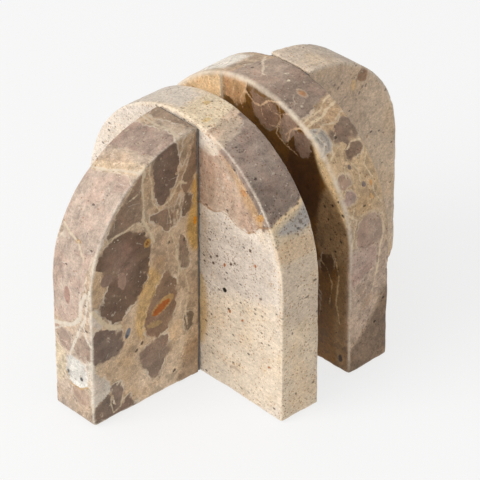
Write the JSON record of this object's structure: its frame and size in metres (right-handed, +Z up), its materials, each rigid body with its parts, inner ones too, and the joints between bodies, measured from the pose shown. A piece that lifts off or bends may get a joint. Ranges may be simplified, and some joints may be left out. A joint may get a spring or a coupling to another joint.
{
  "type": "pair of bookends",
  "caption": "Pair of brown breccia stone bookends: an upright arch slab with a quarter-arch buttress fin bonded square to its outer face, on felt pads.",
  "frame": {"origin": "on the shelf, at the middle of the left bookend's arch footprint, under its middle pad", "axes": "+Z up; +Y from the left bookend through the row of books to the right bookend; +X along the width of the arch slabs"},
  "size_m": [0.1637, 0.2357, 0.161],
  "materials": {
    "left_slab_stone": "honed, cream travertine with taupe breccia",
    "left_fin_stone": "honed, taupe breccia with beige veins",
    "right_slab_stone": "honed, brown breccia with pale veins",
    "right_fin_stone": "honed, beige speckled stone",
    "adhesive": "set grey stone adhesive",
    "felt": "dark felt"
  },
  "bodies": {
    "left_bookend": {"left_arch_slab": "left_slab_stone", "left_buttress_fin": "left_fin_stone", "left_glue_seam": "adhesive", "left_pad_middle": "felt", "left_pad_end_x_minus": "felt", "left_pad_end_x_plus": "felt", "left_pad_fin": "felt"},
    "right_bookend": {"right_arch_slab": "right_slab_stone", "right_buttress_fin": "right_fin_stone", "right_glue_seam": "adhesive", "right_pad_middle": "felt", "right_pad_end_x_minus": "felt", "right_pad_end_x_plus": "felt", "right_pad_fin": "felt"}
  },
  "joints": [
    {"name": "right_bookend_slide", "type": "slide", "parent": "left_bookend", "child": "right_bookend", "axis": [0, 1, 0], "range_m": [0, 0.25]}
  ]
}
